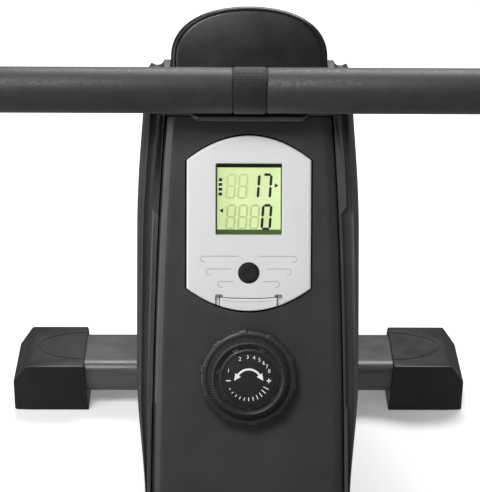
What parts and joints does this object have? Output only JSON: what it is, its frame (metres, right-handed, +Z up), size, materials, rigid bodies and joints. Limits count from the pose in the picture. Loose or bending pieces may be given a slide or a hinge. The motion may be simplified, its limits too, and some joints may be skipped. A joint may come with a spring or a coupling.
{
  "type": "rowing machine",
  "caption": "Folding magnetic rowing machine: sloping housing with round dial and display, strap-pulled straight bar, tilting pedals and a sliding seat on a rail.",
  "frame": {"origin": "on the floor, under the middle of the machine's outline", "axes": "+X to the rider's right as they face the flywheel, +Y from the rear stabiliser towards the flywheel, +Z up"},
  "size_m": [0.485, 2.08, 0.5848],
  "materials": {
    "covers": "satin moulded black-grey plastic",
    "dark_plastic": "fine-grained black plastic",
    "bezel": "light silver-grey satin plastic",
    "painted_steel": "dark grey powder coat",
    "bare_steel": "plated",
    "cast_iron": "turned rim, cast web",
    "rail_aluminium": "satin anodised extrusion",
    "grip_foam": "closed-cell foam sleeve",
    "webbing": "woven nylon webbing",
    "rubber": "black rubber",
    "upholstery": "grained vinyl over foam",
    "display": "reflective segment display",
    "lens": "clear window",
    "circuit": "circuit board"
  },
  "bodies": {
    "frame": {"main_beam": "painted_steel", "mid_foot": "painted_steel", "front_stabiliser": "painted_steel", "front_cap_right": "dark_plastic", "front_cap_left": "dark_plastic", "left_cover": "covers", "right_cover": "covers", "front_panel": "covers", "top_cover": "covers", "handle_cradle": "dark_plastic", "console_case": "bezel", "lcd_display": "display", "console_lens": "lens", "circuit_board": "circuit", "axle_bracket_right": "painted_steel", "axle_bracket_left": "painted_steel", "flywheel_axle": "bare_steel", "pulley_shaft": "bare_steel", "recoil_spring_case": "bare_steel", "drive_belt": "rubber", "tension_cable": "bare_steel", "pull_strap": "webbing", "pedal_shaft": "bare_steel", "hinge_pin": "bare_steel"},
    "handlebar": {"handle_tube": "painted_steel", "grip_right": "grip_foam", "grip_left": "grip_foam", "handle_cap_right": "dark_plastic", "handle_cap_left": "dark_plastic", "strap_loop": "webbing"},
    "strap_drum": {"strap_drum": "dark_plastic"},
    "strap_roller": {"strap_roller": "dark_plastic"},
    "belt_pulley": {"belt_pulley": "dark_plastic"},
    "flywheel": {"flywheel": "cast_iron"},
    "magnet_shoe": {"magnet_shoe": "bare_steel"},
    "tension_knob": {"tension_knob": "dark_plastic", "knob_dial": "dark_plastic"},
    "mode_button": {"mode_button": "dark_plastic"},
    "console_latch": {"console_latch": "bezel"},
    "pedal_right": {"pedal_right": "dark_plastic", "foot_strap_right": "webbing"},
    "pedal_left": {"pedal_left": "dark_plastic", "foot_strap_left": "webbing"},
    "rail": {"rail": "rail_aluminium", "rear_leg": "painted_steel", "rear_stabiliser": "painted_steel", "rear_cap_right": "dark_plastic", "rear_cap_left": "dark_plastic", "rail_stop_front": "rubber", "rail_stop_rear": "rubber"},
    "seat": {"seat_carriage": "painted_steel", "seat_base": "dark_plastic", "seat_cushion": "upholstery"},
    "seat_roller_front_right": {"seat_roller_front_right": "rubber"},
    "seat_roller_front_left": {"seat_roller_front_left": "rubber"},
    "seat_roller_rear_right": {"seat_roller_rear_right": "rubber"},
    "seat_roller_rear_left": {"seat_roller_rear_left": "rubber"},
    "lock_pin": {"lock_pin": "dark_plastic"},
    "transport_wheel_right": {"transport_wheel_right": "rubber"},
    "transport_wheel_left": {"transport_wheel_left": "rubber"}
  },
  "joints": [
    {"name": "handle_pull", "type": "slide", "parent": "frame", "child": "handlebar", "axis": [0, -1, 0], "range_m": [0, 1.15], "stiffness_N_per_m": 15, "springref_m": -0.8},
    {"name": "strap_drum_turn", "type": "hinge", "parent": "frame", "child": "strap_drum", "pos_m": [0, 0.69, 0.29], "axis": [1, 0, 0], "range_deg": [0, 2000]},
    {"name": "strap_roller_turn", "type": "hinge", "parent": "frame", "child": "strap_roller", "pos_m": [0, 0.615, 0.5237], "axis": [1, 0, 0], "range_deg": [0, 5040]},
    {"name": "flywheel_spin", "type": "hinge", "parent": "frame", "child": "flywheel", "pos_m": [0, 0.86, 0.252], "axis": [1, 0, 0], "continuous": true},
    {"name": "belt_pulley_turn", "type": "hinge", "parent": "frame", "child": "belt_pulley", "pos_m": [0, 0.69, 0.29], "axis": [1, 0, 0], "continuous": true},
    {"name": "tension_knob_turn", "type": "hinge", "parent": "frame", "child": "tension_knob", "pos_m": [0, 0.48424, 0.33608], "axis": [0, 0.9003, -0.4352], "range_deg": [0, 300]},
    {"name": "magnet_shoe_swing", "type": "hinge", "parent": "frame", "child": "magnet_shoe", "pos_m": [0, 0.798, 0.382], "axis": [-1, 0, 0], "range_deg": [0, 1.6]},
    {"name": "mode_button_press", "type": "slide", "parent": "frame", "child": "mode_button", "axis": [0, 0.9003, -0.4352], "range_m": [0, 0.0012], "stiffness_N_per_m": 400, "springref_m": -0.001},
    {"name": "console_latch_flex", "type": "hinge", "parent": "frame", "child": "console_latch", "pos_m": [0, 0.51031, 0.39001], "axis": [1, 0, 0], "range_deg": [0, 6], "stiffness_Nm_per_rad": 0.4, "springref_deg": -2.86},
    {"name": "pedal_right_tilt", "type": "hinge", "parent": "frame", "child": "pedal_right", "pos_m": [0.15, 0.29, 0.2], "axis": [-1, 0, 0], "range_deg": [0, 30]},
    {"name": "pedal_left_tilt", "type": "hinge", "parent": "frame", "child": "pedal_left", "pos_m": [-0.15, 0.29, 0.2], "axis": [-1, 0, 0], "range_deg": [0, 30]},
    {"name": "rail_fold", "type": "hinge", "parent": "frame", "child": "rail", "pos_m": [0, 0.14, 0.235], "axis": [-1, 0, 0], "range_deg": [0, 85]},
    {"name": "seat_slide", "type": "slide", "parent": "rail", "child": "seat", "axis": [0, 1, 0], "range_m": [-0.54, 0.28]},
    {"name": "seat_roller_front_right_roll", "type": "hinge", "parent": "seat", "child": "seat_roller_front_right", "pos_m": [0.0168, -0.278, 0.195], "axis": [1, 0, 0], "range_deg": [-1459, 2813]},
    {"name": "seat_roller_front_left_roll", "type": "hinge", "parent": "seat", "child": "seat_roller_front_left", "pos_m": [-0.0168, -0.278, 0.195], "axis": [1, 0, 0], "range_deg": [-1459, 2813]},
    {"name": "seat_roller_rear_right_roll", "type": "hinge", "parent": "seat", "child": "seat_roller_rear_right", "pos_m": [0.0168, -0.382, 0.195], "axis": [1, 0, 0], "range_deg": [-1459, 2813]},
    {"name": "seat_roller_rear_left_roll", "type": "hinge", "parent": "seat", "child": "seat_roller_rear_left", "pos_m": [-0.0168, -0.382, 0.195], "axis": [1, 0, 0], "range_deg": [-1459, 2813]},
    {"name": "lock_pin_pull", "type": "slide", "parent": "frame", "child": "lock_pin", "axis": [1, 0, 0], "range_m": [0, 0.008], "stiffness_N_per_m": 300, "springref_m": -0.005},
    {"name": "transport_wheel_right_roll", "type": "hinge", "parent": "frame", "child": "transport_wheel_right", "pos_m": [0.204, 1.013, 0.027], "axis": [1, 0, 0], "continuous": true},
    {"name": "transport_wheel_left_roll", "type": "hinge", "parent": "frame", "child": "transport_wheel_left", "pos_m": [-0.204, 1.013, 0.027], "axis": [1, 0, 0], "continuous": true}
  ],
  "couplings": [
    {"joint": "strap_drum_turn", "follows": "handle_pull", "rad_per_m": 30.3},
    {"joint": "strap_roller_turn", "follows": "handle_pull", "rad_per_m": 76.34},
    {"joint": "belt_pulley_turn", "follows": "flywheel_spin", "ratio": 0.26667},
    {"joint": "magnet_shoe_swing", "follows": "tension_knob_turn", "ratio": 0.005},
    {"joint": "seat_roller_front_right_roll", "follows": "seat_slide", "rad_per_m": -90.909},
    {"joint": "seat_roller_front_left_roll", "follows": "seat_slide", "rad_per_m": -90.909},
    {"joint": "seat_roller_rear_right_roll", "follows": "seat_slide", "rad_per_m": -90.909},
    {"joint": "seat_roller_rear_left_roll", "follows": "seat_slide", "rad_per_m": -90.909}
  ]
}
